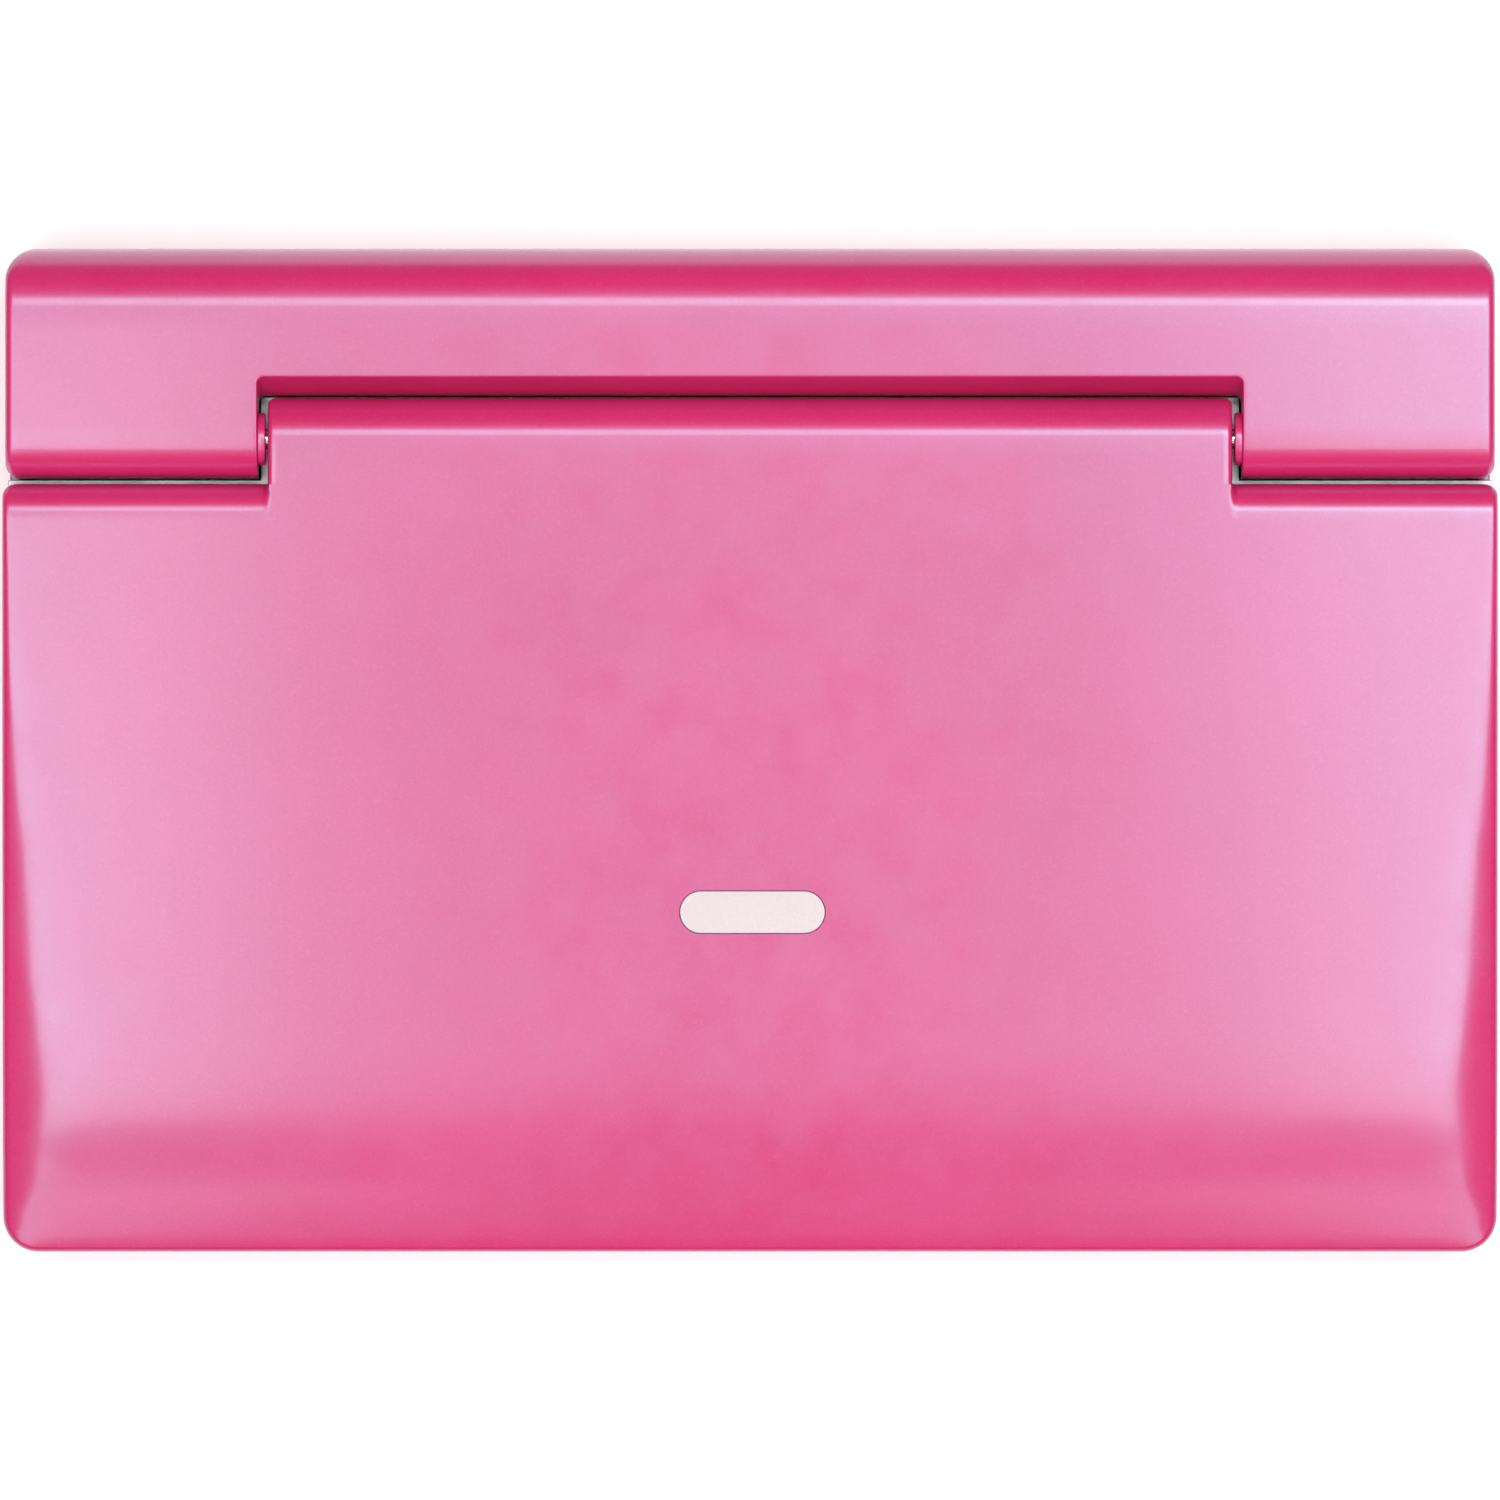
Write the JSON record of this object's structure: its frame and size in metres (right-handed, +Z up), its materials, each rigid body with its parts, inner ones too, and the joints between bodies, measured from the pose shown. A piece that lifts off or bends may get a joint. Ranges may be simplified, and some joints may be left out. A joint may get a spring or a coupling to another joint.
{
  "type": "portable dvd player",
  "caption": "Clamshell portable disc player, lid closed: flat screen lid whose tongue hinges in the notch of a raised rear block, over a base with disc bay and keys.",
  "frame": {"origin": "middle of the resting plane under the closed player, where its feet stand", "axes": "+X to the right as the user sits, +Y to the rear block and hinge, +Z up"},
  "size_m": [0.25, 0.168, 0.0368],
  "materials": {
    "pink_shell": "pearl pink lacquer, satin gloss",
    "silver_plastic": "silver-grey painted ABS, satin",
    "well_grey": "dark grey moulded ABS, fine texture",
    "black_gloss": "piano black, glossy",
    "screen_glass": "dark LCD face, anti-glare",
    "panel_back": null,
    "badge_white": "pale satin inlay",
    "pressed_steel": "pressed steel",
    "bright_steel": "ground steel",
    "zinc_steel": "zinc-plated sheet",
    "screw_steel": "black-oxide screw",
    "soft_rubber": "matt rubber",
    "circuit_board": "green solder mask",
    "chip_black": "moulded epoxy",
    "cable_black": "insulated wire",
    "battery_sleeve": null,
    "jack_black": "moulded socket",
    "jack_yellow": "moulded socket",
    "speaker_frame": "black speaker",
    "grille_metal": "perforated sheet",
    "dark_red_window": "dark red acrylic",
    "light_guide": "clear light guide",
    "pink_key": "pink moulded key",
    "silver_key": "silver moulded key",
    "black_key": "black moulded key",
    "turntable_black": "moulded hub with a rubber ring",
    "brass_screw": "turned brass",
    "lens_glass": "coated lens"
  },
  "bodies": {
    "base": {"base_shell": "pink_shell", "base_deck": "silver_plastic", "rear_housing": "pink_shell", "battery_cover": "pink_shell", "battery_cells": "battery_sleeve", "rubber_feet": "soft_rubber", "case_screws": "screw_steel", "main_board": "circuit_board", "board_chips": "chip_black", "headphone_jacks": "jack_black", "av_jack": "jack_yellow", "dc_jack": "jack_black", "hinge_shafts": "bright_steel", "base_hinge_brackets": "pressed_steel", "speakers": "speaker_frame", "speaker_grilles": "grille_metal", "keypad_mats": "soft_rubber", "key_boards": "circuit_board", "ir_window": "dark_red_window", "status_lights": "light_guide", "disc_tray": "well_grey", "well_floor": "well_grey", "loader_plate": "zinc_steel", "loader_dampers": "soft_rubber", "sled_rails": "bright_steel", "drive_motors": "zinc_steel", "door_hinge_pins": "bright_steel", "display_cable_base": "cable_black"},
    "lid": {"lid_cover": "pink_shell", "lid_bezel": "silver_plastic", "screen_surround": "black_gloss", "lcd_glass": "screen_glass", "lcd_module": "panel_back", "badge": "badge_white", "lid_hinge_arms": "pressed_steel", "lid_bumpers": "soft_rubber", "lid_board": "circuit_board", "lid_screws": "screw_steel", "display_cable_lid": "cable_black"},
    "bright_key_down": {"bright_key_down": "black_key"},
    "bright_key_up": {"bright_key_up": "black_key"},
    "disc_door": {"disc_door": "silver_plastic"},
    "open_button": {"open_button": "pink_key"},
    "key_up": {"key_up": "silver_key"},
    "key_down": {"key_down": "silver_key"},
    "key_left": {"key_left": "silver_key"},
    "key_right": {"key_right": "silver_key"},
    "key_ok": {"key_ok": "pink_key"},
    "key_play": {"key_play": "silver_key"},
    "key_stop": {"key_stop": "silver_key"},
    "key_prev": {"key_prev": "silver_key"},
    "key_next": {"key_next": "silver_key"},
    "key_menu": {"key_menu": "silver_key"},
    "key_setup": {"key_setup": "silver_key"},
    "power_slider": {"power_slider": "silver_key"},
    "volume_wheel": {"volume_wheel": "black_key"},
    "turntable": {"turntable": "turntable_black"},
    "lead_screw": {"lead_screw": "brass_screw"},
    "pickup": {"pickup_sled": "chip_black", "pickup_lens": "lens_glass"}
  },
  "joints": [
    {"name": "lid_hinge", "type": "hinge", "parent": "base", "child": "lid", "pos_m": [0, 0.052, 0.0318], "axis": [-1, 0, 0], "range_deg": [0, 125]},
    {"name": "disc_door_hinge", "type": "hinge", "parent": "base", "child": "disc_door", "pos_m": [0, 0.0406, 0.02], "axis": [-1, 0, 0], "range_deg": [0, 46]},
    {"name": "open_button_slide", "type": "slide", "parent": "base", "child": "open_button", "axis": [1, 0, 0], "range_m": [0, 0.0025], "stiffness_N_per_m": 150, "springref_m": -0.001},
    {"name": "key_up_press", "type": "slide", "parent": "base", "child": "key_up", "axis": [0, 0, -1], "range_m": [0, 0.0006], "stiffness_N_per_m": 300, "springref_m": -0.001},
    {"name": "key_down_press", "type": "slide", "parent": "base", "child": "key_down", "axis": [0, 0, -1], "range_m": [0, 0.0006], "stiffness_N_per_m": 300, "springref_m": -0.001},
    {"name": "key_left_press", "type": "slide", "parent": "base", "child": "key_left", "axis": [0, 0, -1], "range_m": [0, 0.0006], "stiffness_N_per_m": 300, "springref_m": -0.001},
    {"name": "key_right_press", "type": "slide", "parent": "base", "child": "key_right", "axis": [0, 0, -1], "range_m": [0, 0.0006], "stiffness_N_per_m": 300, "springref_m": -0.001},
    {"name": "key_ok_press", "type": "slide", "parent": "base", "child": "key_ok", "axis": [0, 0, -1], "range_m": [0, 0.0006], "stiffness_N_per_m": 300, "springref_m": -0.001},
    {"name": "key_play_press", "type": "slide", "parent": "base", "child": "key_play", "axis": [0, 0, -1], "range_m": [0, 0.0006], "stiffness_N_per_m": 300, "springref_m": -0.001},
    {"name": "key_stop_press", "type": "slide", "parent": "base", "child": "key_stop", "axis": [0, 0, -1], "range_m": [0, 0.0006], "stiffness_N_per_m": 300, "springref_m": -0.001},
    {"name": "key_prev_press", "type": "slide", "parent": "base", "child": "key_prev", "axis": [0, 0, -1], "range_m": [0, 0.0006], "stiffness_N_per_m": 300, "springref_m": -0.001},
    {"name": "key_next_press", "type": "slide", "parent": "base", "child": "key_next", "axis": [0, 0, -1], "range_m": [0, 0.0006], "stiffness_N_per_m": 300, "springref_m": -0.001},
    {"name": "key_menu_press", "type": "slide", "parent": "base", "child": "key_menu", "axis": [0, 0, -1], "range_m": [0, 0.0006], "stiffness_N_per_m": 300, "springref_m": -0.001},
    {"name": "key_setup_press", "type": "slide", "parent": "base", "child": "key_setup", "axis": [0, 0, -1], "range_m": [0, 0.0006], "stiffness_N_per_m": 300, "springref_m": -0.001},
    {"name": "bright_key_down_press", "type": "slide", "parent": "lid", "child": "bright_key_down", "axis": [0, 0, 1], "range_m": [0, 0.0006], "stiffness_N_per_m": 300, "springref_m": -0.001},
    {"name": "bright_key_up_press", "type": "slide", "parent": "lid", "child": "bright_key_up", "axis": [0, 0, 1], "range_m": [0, 0.0006], "stiffness_N_per_m": 300, "springref_m": -0.001},
    {"name": "power_slide", "type": "slide", "parent": "base", "child": "power_slider", "axis": [0, 1, 0], "range_m": [0, 0.004]},
    {"name": "volume_turn", "type": "hinge", "parent": "base", "child": "volume_wheel", "pos_m": [0.1169, -0.005, 0.0165], "axis": [0, 0, 1], "range_deg": [-140, 140]},
    {"name": "turntable_spin", "type": "hinge", "parent": "base", "child": "turntable", "pos_m": [0, -0.0182, 0.0165], "axis": [0, 0, 1], "continuous": true},
    {"name": "pickup_slide", "type": "slide", "parent": "base", "child": "pickup", "axis": [1, 0, 0], "range_m": [0, 0.034]},
    {"name": "lead_screw_spin", "type": "hinge", "parent": "base", "child": "lead_screw", "pos_m": [0.04, 0.0063, 0.0081], "axis": [1, 0, 0], "continuous": true}
  ],
  "couplings": [
    {"joint": "disc_door_hinge", "follows": "lid_hinge", "ratio": 0.36},
    {"joint": "lead_screw_spin", "follows": "pickup_slide", "rad_per_m": -2000}
  ]
}
